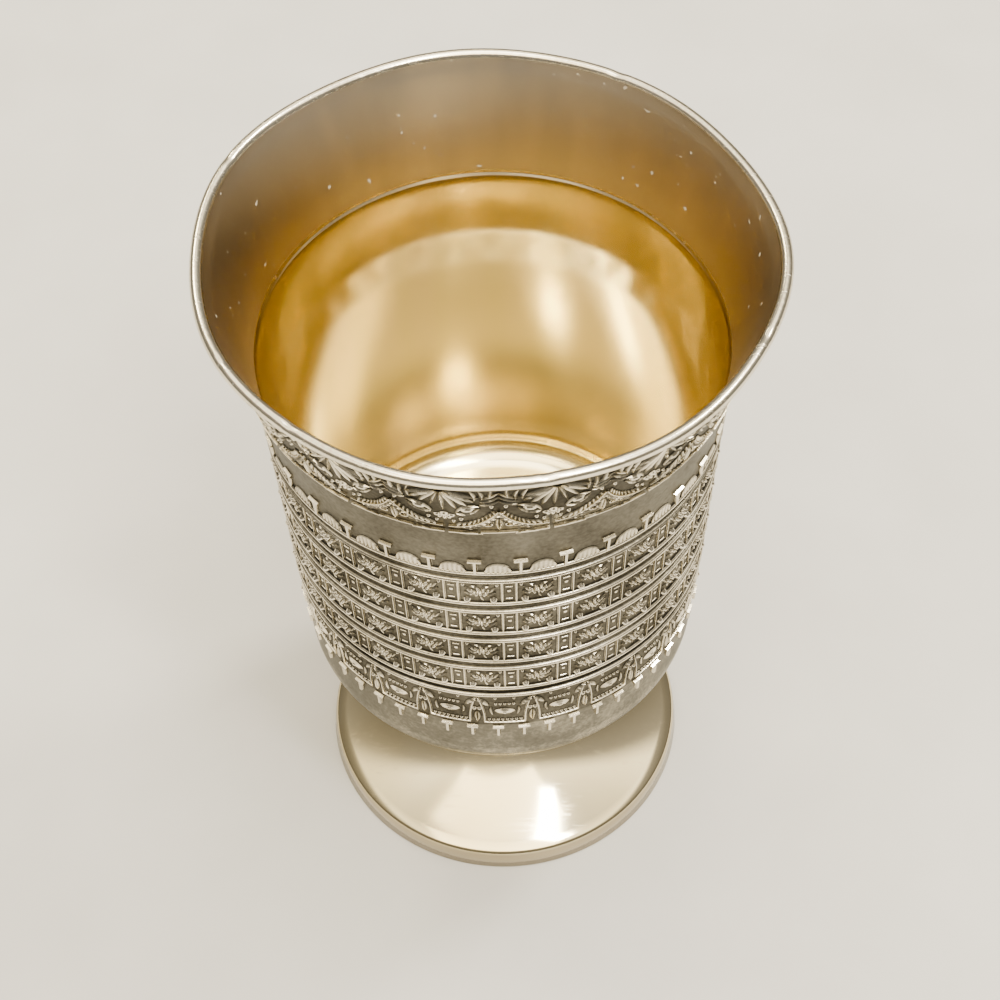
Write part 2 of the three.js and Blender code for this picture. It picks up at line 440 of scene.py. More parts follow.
# %% [markdown]
# ## The beaker
# From outside in: a flat underside, a rounded corner, the wall with five pairs of raised wires, the rolled
# bead of the rim, then the lip, a small step ring, the inner wall and a slightly dished floor. The wires are
# half-round in section with a dark groove between them. They could be rings of their own, but as rows of the
# profile they keep the body one closed shell. The ornament pressed the sheet through a little, which shows as
# a faint ghost on the inner wall, and the bead has a few nicks.

# %% Beaker: rows of the outside
RING_PAIRS = 5
RING_TOP_Z = 97.6
RING_PITCH = 8.44
RING_GAP = 2.3
WIRE_HALF_WIDTH = 0.38
WIRE_RELIEF = 0.45
WIRE_SHARES = (-1.0, -0.85, -0.55, 0.0, 0.55, 0.85, 1.0)
WIRE_SHADOW = 0.05
WIRE_CLEARANCE = 1.3
WIRE_EDGE_RECESS = 0.75
GROOVE_DEPTH = 0.12
GROOVE_RECESS = 0.66
GROOVE_PAINTED_SHADE = 0.3
ROW_SPACING = 1.1
UNDERSIDE_RECESS = 0.45
CORNER_RECESS = 0.4
BEAD_RECESS = 0.03
SILVER_SIDE = 0
GILT_SIDE = 1
# Grounds of the bands: foot, top and recess; the recess darkens each plain ground, partly as tarnish and
# partly as painted shade
GROUNDS = [
    (38.0, 54.0, 0.49),
    (54.0, 63.4, 0.70),
    (63.4, 97.6, 0.70),
    (97.6, 103.4, 0.67),
    (103.4, 112.3, 0.64),
    (112.3, 128.4, 0.79),
]

ring_feet = [RING_TOP_Z - RING_PITCH * i for i in range(RING_PAIRS)]
wires = sorted(z for foot in ring_feet for z in (foot, foot + RING_GAP))


def ground_recess(z):
    """The recess of the plain ground at a height."""
    return next((depth for low, high, depth in GROUNDS if low <= z < high), CORNER_RECESS)


def outside_row(z):
    """One row of the outer wall: its radius with any wire or groove, and its recess."""
    near = min(wires, key=lambda wire: abs(z - wire))
    off = abs(z - near) / WIRE_HALF_WIDTH
    if off < 1:
        crest = math.sqrt(1 - off * off)
        # A wire darkens from its crest to its edges: painted shade on its flanks
        return wall_radius(z) + WIRE_RELIEF * crest, z, WIRE_EDGE_RECESS * (1 - crest), SILVER_SIDE
    for foot in ring_feet:
        if foot < z < foot + RING_GAP:
            # A groove is dark and darkens towards the wire above it: painted shade under that wire, with
            # tarnish
            depth = GROOVE_RECESS + GROOVE_PAINTED_SHADE * (z - foot) / RING_GAP
            return wall_radius(z) - GROOVE_DEPTH, z, depth, SILVER_SIDE
    return wall_radius(z), z, ground_recess(z), SILVER_SIDE


def wall_heights():
    """Heights of the wall's rows: close together on the wires, wide on the plain bands."""
    heights = []
    z = UNDERSIDE_Z + CORNER_RADIUS + 1.0
    while z < HEIGHT - 2 * BEAD_RADIUS:
        heights.append(z)
        z += ROW_SPACING
    heights = [z for z in heights if all(abs(z - wire) > WIRE_CLEARANCE for wire in wires)]
    for wire in wires:
        heights += [wire + WIRE_HALF_WIDTH * share for share in WIRE_SHARES]
        heights += [wire + side * (WIRE_HALF_WIDTH + WIRE_SHADOW) for side in (-1, 1)]
    heights += [foot + RING_GAP / 2 for foot in ring_feet]
    heights += [edge for _, edge, _ in GROUNDS[:-1]]
    return sorted(heights)


corner_z = UNDERSIDE_Z + CORNER_RADIUS
corner = arc(wall_radius(corner_z) - CORNER_RADIUS, corner_z, CORNER_RADIUS, -90, 0, 12)
outside = [(0.0, UNDERSIDE_Z, 0.5, SILVER_SIDE)]
outside += [(radius, UNDERSIDE_Z, UNDERSIDE_RECESS, SILVER_SIDE) for radius in (9.0, 18.0)]
outside += [(radius, z, CORNER_RECESS, SILVER_SIDE) for radius, z in corner]
outside += [outside_row(z) for z in wall_heights()]
bead = arc(RIM_RADIUS - BEAD_RADIUS, HEIGHT - BEAD_RADIUS, BEAD_RADIUS, -70, 175, 12)
outside += [(radius, z, BEAD_RECESS, SILVER_SIDE) for radius, z in bead]
print("outside rows:", len(outside))

# %% Beaker: rows of the inside, and the whole body
LIP_THICKNESS = 1.0
LIP_TOP_Z = HEIGHT - 2.2
LIP_ROWS = 14
LIP_ROW_SPACING = 1.3
STEP_DEPTH = 0.28
# Rows of the step: share of its depth, and rise above its level
STEP_ROWS = [(0.0, 0.25), (0.06, 0.08), (0.8, -0.12), (1.0, -0.4)]
INNER_TOP_Z = STEP_Z - 0.7
FLOOR_THICKNESS = 1.2
DISH_RISE = 3.0
FLOOR_SHARES = (1.0, 0.9, 0.78, 0.65, 0.5, 0.35, 0.2, 0.1, 0.0)
POST_COPIES = 34
POST_FIRST = -5.8
GHOST_DEPTH = 0.07
GHOST_FOOT_Z = 88.0
GHOST_TOP_Z = 106.0
BEAKER_COLUMNS = 340
# Nicks in the bead: azimuth, width in degrees, and depth
NICKS = [
    (9.0, 1.1, 0.22),
    (6.0, 0.9, 0.14),
    (-41.0, 1.4, 0.25),
    (-62.0, 1.0, 0.15),
    (64.0, 1.2, 0.18),
    (150.0, 1.3, 0.2),
    (-118.0, 1.0, 0.15),
]

inner_corner = CORNER_RADIUS - FLOOR_THICKNESS
floor_z = UNDERSIDE_Z + FLOOR_THICKNESS
inner_foot = floor_z + DISH_RISE + inner_corner


def lip_radius(z):
    """Inside radius of the lip at a height."""
    return wall_radius(z) - LIP_THICKNESS


lip_rows = [LIP_TOP_Z - LIP_ROW_SPACING * i for i in range(LIP_ROWS)]
inner_rows = [INNER_TOP_Z - i for i in range(int(INNER_TOP_Z - inner_foot))]
inside = [(lip_radius(z), z) for z in lip_rows]
inside += [(lip_radius(STEP_Z) - STEP_DEPTH * share, STEP_Z + rise) for share, rise in STEP_ROWS]
inside += [(lip_radius(z) - STEP_DEPTH, z) for z in inner_rows]
floor_radius = lip_radius(inner_foot) - STEP_DEPTH - inner_corner
inside += arc(floor_radius, inner_foot, inner_corner, 0, -80, 11)
inside += [(floor_radius * share, floor_z + DISH_RISE * share ** 2) for share in FLOOR_SHARES]


def used_shape(azimuth, radius, z):
    """Dents the rim, nicks the bead and presses the ghost of the panels through to the inner wall."""
    knocked = radius + rim_knock(azimuth, z)
    lowered = z
    bead_share = (z - HEIGHT + 2 * BEAD_RADIUS) / (2 * BEAD_RADIUS)
    if bead_share > 0:
        for at, wide, deep in NICKS:
            off = (math.degrees(azimuth) - at + 180) % 360 - 180
            lowered -= deep * math.exp(-(off / wide) ** 2) * bead_share
    if GHOST_FOOT_Z < z < GHOST_TOP_Z and radius < lip_radius(z):
        across = math.cos(POST_COPIES * (azimuth - math.radians(POST_FIRST)))
        along = math.cos(2 * math.pi * (z - RING_TOP_Z - RING_GAP / 2) / RING_PITCH)
        fade = math.sin(math.pi * (z - GHOST_FOOT_Z) / (GHOST_TOP_Z - GHOST_FOOT_Z))
        knocked += GHOST_DEPTH * fade * ((1 - across) * (1 - along) / 4 - max(0.0, along) / 2)
    return knocked, lowered


profile = outside + [(radius, z, 0.0, GILT_SIDE) for radius, z in inside]
beaker = turned("beaker", profile, BEAKER_COLUMNS, [chased, gilt], used_shape)

# %% [markdown]
# ## The foot
# The foot is one spun sheet: an upright edge band, a dished slope that runs into a stem, and a collar that
# was soldered under the beaker. It is hollow underneath and stands on a narrow ring. Solidify could thicken a
# sheet, but here the profile goes round both sides, so that the ring is flat.

# %% Foot
FOOT_RADIUS = 33.0
FOOT_EDGE_RADIUS = 32.5
FOOT_EDGE_Z = 4.0
FOOT_EASE = 0.25
FOOT_SHOULDER = 0.5
# Rows round the edge band's top: out and up from its edge
EDGE_ROWS = [(0.06, -0.45), (0.0, -0.1), (-0.18, 0.2)]
SLOPE_CENTRE_RADIUS = 60.0
SLOPE_CENTRE_Z = 28.0
SLOPE_STEPS = 26
STEM_RADIUS = 8.5
STEM_ROWS = (29.5, 31.0, 32.5)
STEM_TOP_Z = 33.0
COLLAR_RADIUS = 10.5
COLLAR_FILLET = 2.0
COLLAR_FOOT_Z = 37.0
FOOT_THICKNESS = 1.0
FOOT_STANDING_WIDTH = 2.0
FOOT_COLUMNS = 256


def slope(thickness):
    """The foot's slope from the edge up to the stem: a quarter ellipse, moved inwards by a thickness."""
    wide = SLOPE_CENTRE_RADIUS - STEM_RADIUS
    edge = math.acos((SLOPE_CENTRE_RADIUS - FOOT_EDGE_RADIUS + FOOT_SHOULDER) / wide)
    tall = (SLOPE_CENTRE_Z - FOOT_EDGE_Z - FOOT_SHOULDER) / math.sin(edge)
    rows = []
    for i in range(SLOPE_STEPS + 1):
        angle = edge * (1 - i / SLOPE_STEPS)
        normal = Vector((math.cos(angle) / wide, math.sin(angle) / tall)).normalized()
        rows.append((SLOPE_CENTRE_RADIUS - wide * math.cos(angle) - thickness * normal.x,
                     SLOPE_CENTRE_Z - tall * math.sin(angle) - thickness * normal.y))
    return rows


standing = FOOT_RADIUS - FOOT_STANDING_WIDTH
foot_rows = [(FOOT_RADIUS - FOOT_EASE, 0.0), (FOOT_RADIUS, FOOT_EASE)]
foot_rows += [(FOOT_EDGE_RADIUS + out, FOOT_EDGE_Z + rise) for out, rise in EDGE_ROWS]
foot_rows += slope(0.0)
foot_rows += [(STEM_RADIUS, z) for z in STEM_ROWS]
foot_rows += arc(COLLAR_RADIUS, STEM_TOP_Z + COLLAR_FILLET, COLLAR_FILLET, 180, 120, 5)
foot_rows += [(COLLAR_RADIUS, COLLAR_FOOT_Z), (COLLAR_RADIUS, UNDERSIDE_Z)]
foot_rows += [(COLLAR_RADIUS - FOOT_THICKNESS, UNDERSIDE_Z), (STEM_RADIUS - FOOT_THICKNESS, STEM_TOP_Z)]
foot_rows += [(radius, z) for radius, z in reversed(slope(FOOT_THICKNESS)) if radius < standing - 0.3]
foot_rows += [(standing, FOOT_EDGE_Z - FOOT_SHOULDER), (standing, 0.2), (standing + 0.2, 0.0)]
foot = turned("foot_spun", [(r, z, 0.0, 0) for r, z in foot_rows], FOOT_COLUMNS, [polished])


# %% [markdown]
# ## A vocabulary of flat ornament
# A die sinker cuts a band flat, from a few strokes: a leaf, a line and a bead. Each stroke here is a small
# closed shell drawn on a flat sheet, with x along the band, y up the wall and w out of it. A thin skirt round
# each stroke carries full recess, so that every leaf has a dark outline, partly tarnish and partly painted
# shade at its root, and each stroke darkens from its crest down to its skirt as painted shade.
# A displacement map could raise the same leaves, but its edges would blur up close.

# %% Strokes of the die sinker
ROOT = 0.2
SKIRT_LIFT = 0.03
SKIRT = 0.16
LEAF_EDGE_LIFT = 0.07
LINE_EDGE_LIFT = 0.05
LEAF_TIP_HALF_WIDTH = 0.05
# Recess runs from 0 on a stroke's crest to 1 on its skirt: painted shade round its root, with tarnish
# Rows of a section: share of the half width, side of the skirt, share of the lift, least lift, and recess
LEFT_SKIRT = [(-1, -1, 0, -ROOT, 1.0), (-1, -1, 0, SKIRT_LIFT, 1.0)]
RIGHT_SKIRT = [(1, 1, 0, SKIRT_LIFT, 1.0), (1, 1, 0, -ROOT, 1.0)]
LEAF_SECTION = [
    *LEFT_SKIRT,
    (-1, 0, 0, LEAF_EDGE_LIFT, 0.6),
    (0, 0, 1, 0, 0.0),
    (1, 0, 0, LEAF_EDGE_LIFT, 0.6),
    *RIGHT_SKIRT,
]
LINE_SECTION = [
    *LEFT_SKIRT,
    (-1, 0, 0, LINE_EDGE_LIFT, 0.2),
    (-0.6, 0, 1, 0, 0.0),
    (0.6, 0, 1, 0, 0.0),
    (1, 0, 0, LINE_EDGE_LIFT, 0.2),
    *RIGHT_SKIRT,
]


class Sheet:
    """A flat sheet that collects strokes: points (x, y, w), their recess, and faces."""

    def __init__(self):
        self.points = []
        self.recess = []
        self.faces = []
        self.smooth = []

    def face(self, corners, smooth):
        self.faces.append(corners)
        self.smooth.append(smooth)

    def strips(self, first, size, rows, smooth):
        """Joins rows of points, all of one size, by a strip of faces between each two."""
        for i in range(rows - 1):
            low = first + i * size
            for j in range(size):
                k = (j + 1) % size
                self.face([low + j, low + k, low + size + k, low + size + j], smooth)

    def tube(self, first, size, rows):
        """Joins rows of points into a tube with two closed ends."""
        self.strips(first, size, rows, False)
        self.face([first + j for j in range(size)], False)
        self.face([first + (rows - 1) * size + j for j in reversed(range(size))], False)

    def sweep(self, path, half_widths, lift, section, skirt_wide=SKIRT, skirt_shade=1.0):
        """Carries a section along a path with a half width at each point."""
        first = len(self.points)
        for i, (x, y) in enumerate(path):
            before = Vector(path[max(i - 1, 0)])
            after = Vector(path[min(i + 1, len(path) - 1)])
            along = (after - before).normalized()
            for side, skirt, share, least, depth in section:
                off = side * half_widths[i] + skirt * skirt_wide
                crest = lift * share * min(1.0, half_widths[i] / max(half_widths) + 0.35)
                self.points.append((x + along.y * off, y - along.x * off, least + crest))
                self.recess.append(depth * skirt_shade if skirt else depth)
        self.tube(first, len(section), len(path))

    def leaf(self, path, width, lift, *skirt):
        """A pointed leaf with a ridge down its middle."""
        last = len(path) - 1
        shares = [math.sin(math.pi * (0.08 + 0.9 * i / last)) ** 0.8 for i in range(last + 1)]
        half = [max(LEAF_TIP_HALF_WIDTH, width / 2 * share) for share in shares]
        self.sweep(path, half, lift, LEAF_SECTION, *skirt)

    def line(self, path, width, lift, *skirt):
        """A raised line with a flat top."""
        self.sweep(path, [width / 2] * len(path), lift, LINE_SECTION, *skirt)

    def fluted_arch(self, foot_y, wide, tall, flutes, lift):
        """A half ellipse of upright flutes."""
        first = len(self.points)
        count = 2 * flutes + 1
        for i in range(count):
            x = wide * (i / (count - 1) - 0.5)
            rise = max(0.12, tall * math.sqrt(max(0.0, 1 - (2 * x / wide) ** 2)))
            # Low flutes and the arch's edge carry more recess: painted shade in the hollows
            crest, depth = (lift, 0.0) if i % 2 else (lift * 0.62, 0.26)
            column = [
                (-0.3, -ROOT, 0.6),
                (-0.3, crest, depth),
                (rise * 0.8, crest, depth),
                (rise, 0.08, 0.6),
                (rise + 0.14, SKIRT_LIFT, 0.95),
                (rise + 0.14, -ROOT, 1.0),
            ]
            for y, w, shade in column:
                self.points.append((x, foot_y + y, w))
                self.recess.append(shade)
        self.tube(first, len(column), count)

    def bead(self, x, y, wide, tall, lift, turn=0.0, sides=8, skirt_wide=SKIRT, skirt_shade=1.0):
        """A low dome."""
        first = len(self.points)
        c, s = math.cos(turn), math.sin(turn)
        # A dome's skirt and foot carry recess and its top none: painted shade round its root
        rings = [(1.0, skirt_wide, -ROOT, skirt_shade), (1.0, skirt_wide, SKIRT_LIFT, skirt_shade),
                 (1.0, 0, LEAF_EDGE_LIFT, 0.15), (0.68, 0, 0.74 * lift, 0.0)]
        for share, skirt, height_now, depth in rings:
            for i in range(sides):
                a = 2 * math.pi * i / sides
                u = (wide / 2 * share + skirt) * math.cos(a)
                v = (tall / 2 * share + skirt) * math.sin(a)
                self.points.append((x + u * c - v * s, y + u * s + v * c, height_now))
                self.recess.append(depth)
        self.points.append((x, y, lift))
        self.recess.append(0.0)
        top = len(self.points) - 1
        self.strips(first, sides, len(rings), True)
        last_ring = first + (len(rings) - 1) * sides
        for i in range(sides):
            self.face([last_ring + i, last_ring + (i + 1) % sides, top], True)
        self.face([first + i for i in reversed(range(sides))], False)

    def mesh(self, name):
        """The sheet as a mesh in metres, with its faces turned outwards."""
        made = bpy.data.meshes.new(name)
        made.from_pydata([tuple(v * MM for v in point) for point in self.points], [], self.faces)
        made.polygons.foreach_set("use_smooth", self.smooth)
        made.attributes.new("recess", "FLOAT", "POINT").data.foreach_set("value", self.recess)
        shell = bmesh.new()
        shell.from_mesh(made)
        bmesh.ops.recalc_face_normals(shell, faces=shell.faces)
        shell.to_mesh(made)
        shell.free()
        return made


def bend(start, through, end, steps):
    """A path from start to end that leans towards a middle point."""
    a, b, c = Vector(start), Vector(through), Vector(end)
    shares = [i / steps for i in range(steps + 1)]
    return [tuple((1 - t) ** 2 * a + 2 * t * (1 - t) * b + t * t * c) for t in shares]


# %% [markdown]
# ## Wrapping a band round the wall
# The rolled bands repeat one motif all the way round. A Geometry Nodes tree does what the roll does: it lays
# the flat motif out in a row of copies, stacks the rows, and bends the whole sheet round the wall by the
# wall's own rule. Array and Curve modifiers could repeat and bend a strip too, but they can't follow a flare
# and a dented rim at once.

# %% Geometry group: the wall's rule
wall, given, result = new_group(
    "GeometryNodeTree", "wall_rule", [("Azimuth", FLOAT), ("Height", FLOAT)], [("Radius", FLOAT)])
azimuth = given["Azimuth"]
height = given["Height"]


def share_above(tree, z, low):
    """How far a height is from a level to the rim, from 0 to 1."""
    part = calc(tree, "DIVIDE", calc(tree, "SUBTRACT", z, low * MM), (HEIGHT - low) * MM)
    return calc(tree, "MAXIMUM", part, 0.0)


above_corner = calc(wall, "SUBTRACT", height, corner_z * MM)
taper = calc(wall, "MULTIPLY", above_corner, WALL_TAPER)
flare = calc(wall, "POWER", share_above(wall, height, FLARE_START_Z), FLARE_POWER)
flare = calc(wall, "MULTIPLY", flare, FLARE_REACH * MM)
wave = 0.0
for lobes, reach, at in RIM_LOBES:
    from_crest = calc(wall, "SUBTRACT", azimuth, math.radians(at))
    turn = calc(wall, "MULTIPLY", from_crest, lobes)
    crest = calc(wall, "MULTIPLY", calc(wall, "COSINE", turn), reach * MM)
    wave = calc(wall, "ADD", crest, wave)
fade = calc(wall, "POWER", share_above(wall, height, RIM_DENT_START_Z), 2.0)
knock = calc(wall, "MULTIPLY", wave, fade)
tapered = calc(wall, "ADD", taper, WALL_BASE_RADIUS * MM)
radius = calc(wall, "ADD", tapered, flare)
fill(wall, result, {"Radius": calc(wall, "ADD", radius, knock)})
print("geometry group:", wall.name, len(wall.nodes), "nodes")

# %% Geometry tree: a band of copies bent round the wall
band, given, result = new_group(
    "GeometryNodeTree", "band_round_wall",
    [("Geometry", "NodeSocketGeometry"), ("Copies", "NodeSocketInt"), ("First Azimuth", FLOAT),
     ("Rows", "NodeSocketInt"), ("Row Pitch", FLOAT), ("Band Radius", FLOAT),
     ("Metal", "NodeSocketMaterial")],
    [("Geometry", "NodeSocketGeometry")])
flat = axes(band, add(band, "GeometryNodeInputPosition").outputs[0])
angle = calc(band, "DIVIDE", flat["X"], given["Band Radius"])
motif = add(band, "GeometryNodeSetPosition", {
    "Geometry": given["Geometry"],
    "Position": joined(band, {"X": angle, "Y": flat["Y"], "Z": flat["Z"]})})
spacing = calc(band, "DIVIDE", 2 * math.pi, given["Copies"])
row = add(band, "GeometryNodeMeshLine", {
    "Count": given["Copies"],
    "Start Location": joined(band, {"X": given["First Azimuth"]}),
    "Offset": joined(band, {"X": spacing})})
copies = add(band, "GeometryNodeInstanceOnPoints", {
    "Points": row.outputs["Mesh"], "Instance": motif.outputs["Geometry"]})
drop = calc(band, "MULTIPLY", given["Row Pitch"], -1.0)
stack = add(band, "GeometryNodeMeshLine", {
    "Count": given["Rows"], "Offset": joined(band, {"Y": drop})})
rows = add(band, "GeometryNodeInstanceOnPoints", {
    "Points": stack.outputs["Mesh"], "Instance": copies.outputs["Instances"]})
sheet = add(band, "GeometryNodeRealizeInstances", {"Geometry": rows.outputs["Instances"]})
laid = axes(band, add(band, "GeometryNodeInputPosition").outputs[0])
rule = add(band, "GeometryNodeGroup", {"Azimuth": laid["X"], "Height": laid["Y"]}, node_tree=wall)
reach = calc(band, "ADD", rule.outputs["Radius"], laid["Z"])
towards_back = calc(band, "MULTIPLY", calc(band, "COSINE", laid["X"]), -1.0)
bent = joined(band, {
    "X": calc(band, "MULTIPLY", reach, calc(band, "SINE", laid["X"])),
    "Y": calc(band, "MULTIPLY", reach, towards_back),
    "Z": laid["Y"]})
wrapped = add(band, "GeometryNodeSetPosition", {
    "Geometry": sheet.outputs["Geometry"], "Position": bent})
finished = add(band, "GeometryNodeSetMaterial", {
    "Geometry": wrapped.outputs["Geometry"], "Material": given["Metal"]})
fill(band, result, {"Geometry": finished.outputs["Geometry"]})
print("geometry tree:", band.name, len(band.nodes), "nodes")


# %% Roll a band
ornaments = []


def roll(name, motif_sheet, copies_round, first_azimuth, band_z, rows_down=1, row_pitch=0.0):
    """Wraps a flat motif round the wall and keeps the result as a plain mesh object."""
    made = new_object(name, motif_sheet.mesh(name))
    modifier = made.modifiers.new("band", "NODES")
    modifier.node_group = band
    values = {"Copies": copies_round, "First Azimuth": math.radians(first_azimuth), "Rows": rows_down,
              "Row Pitch": row_pitch * MM, "Band Radius": wall_radius(band_z) * MM, "Metal": chased}
    for item in band.interface.items_tree:
        if item.in_out == "INPUT" and item.name in values:
            modifier[item.identifier] = values[item.name]
    made.update_tag()
    evaluated = made.evaluated_get(bpy.context.evaluated_depsgraph_get())
    plain = bpy.data.meshes.new_from_object(evaluated)
    made.modifiers.clear()
    made.data = plain
    plain.name = name
    ornaments.append(made)
    print(name, len(plain.polygons), "faces", [round(v / MM, 1) for v in made.dimensions])


# %% [markdown]
# ## Leaf border under the rim
# The widest band hangs fans of leaves from the rim, with long leaves, buds and scrolls between them, over a
# broken raised line. One repeat is drawn from leaves, lines and beads. Its two sides mirror each other about
# the fan, so one function draws both.

# %% Leaf border: the fan and its flower
BORDER_COPIES = 16
BORDER_FIRST = 11.4
BORDER_FOOT = 112.3
BORDER_MIDDLE = 118.0
FAN_TOP = 126.4
FAN_RAYS = 9
FAN_SPREAD = 64.0
FAN_REACH = 7.2
FAN_ROOT = 0.7
FLOWER_Y = 117.6
FLOWER_REACH = 1.1
PETALS = 5
FIRST_PETAL = 198
PETAL_STEP = 36

border = Sheet()
for ray in range(FAN_RAYS):
    a = math.radians(-FAN_SPREAD + 2 * FAN_SPREAD * ray / (FAN_RAYS - 1))
    reach_now = FAN_REACH * (1.0 - 0.25 * abs(math.sin(a)))
    root = (math.sin(a) * FAN_ROOT, FAN_TOP - math.cos(a) * FAN_ROOT)
    through = (math.sin(a) * reach_now * 0.5, FAN_TOP - math.cos(a) * reach_now * 0.55)
    tip = (math.sin(a) * reach_now, FAN_TOP - math.cos(a) * reach_now)
    border.leaf(bend(root, through, tip, 4), 0.72, 0.5)
border.bead(0, FLOWER_Y, 1.2, 1.1, 0.5)
for petal in range(PETALS):
    a = math.radians(FIRST_PETAL + PETAL_STEP * petal)
    border.bead(FLOWER_REACH * math.cos(a), FLOWER_Y + FLOWER_REACH * math.sin(a), 1.0, 0.6, 0.4, a, 6)
print("fan and flower:", len(border.faces), "faces")

# %% Leaf border: leaves, buds and scrolls on both sides
LEAF_WIDE = 0.6
LEAF_LIFT = 0.4
# Width, lift and skirt of a tendril
TENDRIL = (0.3, 0.34, 0.1)
SPRAY_TURN = 0.75
SPRAY_REACH = 1.9
TIERS = 3
SCROLL_STEPS = 7
# Leaves: root, middle and tip
BUD_LEAVES = [
    ((1.7, 118.4), (2.8, 121.2), (5.0, 120.8)),
    ((1.8, 118.1), (3.4, 117.4), (5.0, 120.0)),
]
RIM_LEAVES = [
    ((5.3, 122.8), (5.7, 124.4), (5.0, 126.4)),
    ((6.2, 123.8), (6.8, 125.2), (6.4, 126.9)),
    ((4.3, 122.4), (4.7, 124.4), (3.8, 126.5)),
]
# Seeds: place, width and lift
SEEDS = [(6.6, 120.6, 0.6, 0.4), (2.3, 116.2, 0.6, 0.4), (1.2, 115.4, 0.5, 0.36)]
# Lines along the foot: start, step, count, rise, width, lift, width of the skirt and its shade
FOOT_LINES = [
    (0.3, 1.05, 5, 0.0, 0.5, 0.45, 0.08, 1.0),
    (4.9, 0.95, 4, 0.1, 0.42, 0.38, 0.08, 1.0),
    (1.9, 1.1, 4, -0.6, 0.24, 0.22, 0.06, 0.8),
]


def border_side(hand):
    """Draws the border's repeat on one side of the fan."""
    def at(x, y):
        return (hand * x, y)

    border.bead(hand * 3.3, 119.5, 2.1, 0.95, 0.55, hand * 0.3)
    for root, through, tip in BUD_LEAVES:
        border.leaf(bend(at(*root), at(*through), at(*tip), 5), LEAF_WIDE, LEAF_LIFT)
    stem = bend(at(0.4, 113.9), at(5.2, 113.6), at(7.5, 119.0), 10)
    border.line(stem, *TENDRIL)
    for step_on, (x, y) in enumerate(stem[1:-1]):
        ahead = Vector(stem[step_on + 2]) - Vector(stem[step_on])
        for side in (-1, 1):
            a = math.atan2(ahead.y, ahead.x) + side * SPRAY_TURN
            far = SPRAY_REACH - 0.08 * step_on
            tip = (x + far * math.cos(a), y + far * math.sin(a))
            if tip[1] > BORDER_FOOT + 0.5:
                through = ((x + tip[0]) / 2, (y + tip[1]) / 2 + 0.15)
                border.leaf(bend((x, y), through, tip, 3), 0.5, 0.38)
    for tier in range(TIERS):
        root = at(5.1, 121.4 + 1.0 * tier)
        through = at(6.4, 121.2 + 1.3 * tier)
        tip = at(7.6, 122.6 + 1.5 * tier)
        border.leaf(bend(root, through, tip, 4), 0.55, LEAF_LIFT)
    for root, through, tip in RIM_LEAVES:
        border.leaf(bend(at(*root), at(*through), at(*tip), 4), LEAF_WIDE, LEAF_LIFT)
    scroll = []
    for i in range(SCROLL_STEPS):
        a = 0.75 * i + 2.6
        out = 1.0 - 0.12 * i
        scroll.append(at(6.2 + out * math.cos(a), 115.1 + out * math.sin(a)))
    border.line(scroll, *TENDRIL)
    border.leaf(bend(at(7.6, 113.2), at(7.0, 114.6), at(7.5, 116.6), 4), LEAF_WIDE, LEAF_LIFT)
    for x, y, wide, lift in SEEDS:
        border.bead(hand * x, y, wide, wide, lift, 0, 6)
    for start, step, count, rise, *stroke in FOOT_LINES:
        border.line([at(start + step * i, BORDER_FOOT + rise) for i in range(count)], *stroke)


for hand in (-1, 1):
    border_side(hand)
roll("leaf_border", border, BORDER_COPIES, BORDER_FIRST, BORDER_MIDDLE)

# %% [markdown]
# ## Posts and fluted arches
# Above the top ring stands a row of bright T-shaped posts with a fluted arch between each two. The flutes are
# upright and their tops follow a half ellipse. Each arch is one pleated shell, with no gaps in it.

# %% Posts and arches
POST_FOOT = RING_TOP_Z + RING_GAP + 0.4
POST_TALL = 3.0
POST_TOP = POST_FOOT + POST_TALL
POST_BAR = 2.0
# Width and shade of a skirt
BRIGHT_SKIRT = (0.07, 0.65)
ARCH_WIDE = 4.1
ARCH_TALL = 2.3
FLUTES = 6

posts = Sheet()
shaft = [(0, y) for y in (POST_FOOT - 0.2, POST_FOOT + POST_TALL / 2, POST_TOP)]
posts.line(shaft, 0.66, 0.42, *BRIGHT_SKIRT)
posts.line([(x * POST_BAR / 2, POST_TOP) for x in (-1, -0.35, 0.35, 1)], 0.62, 0.46, *BRIGHT_SKIRT)
roll("posts", posts, POST_COPIES, POST_FIRST, POST_FOOT)

arches = Sheet()
arches.fluted_arch(POST_FOOT, ARCH_WIDE, ARCH_TALL, FLUTES, 0.3)
roll("arches", arches, POST_COPIES, POST_FIRST + 180.0 / POST_COPIES, POST_FOOT)

# %% [markdown]
# ## Panels with pilasters, sprigs and beads
# Between the rings run four rows of panels. Narrow pilasters part them, and each panel holds a sprig of
# flowers with a bright bead at its lower corners. Two motifs are enough for all of them, because the tree
# stacks rows as well as copies.

# %% Pilasters
PANEL_COLUMNS = 26
PILASTER_AZIMUTH = 2.0
PANEL_ROWS = RING_PAIRS - 1
PANEL_TOP = RING_TOP_Z - WIRE_HALF_WIDTH
PANEL_FOOT = RING_TOP_Z - RING_PITCH + RING_GAP + WIRE_HALF_WIDTH
PANEL_MIDDLE = (PANEL_TOP + PANEL_FOOT) / 2
PILASTER_WIDE = 2.1

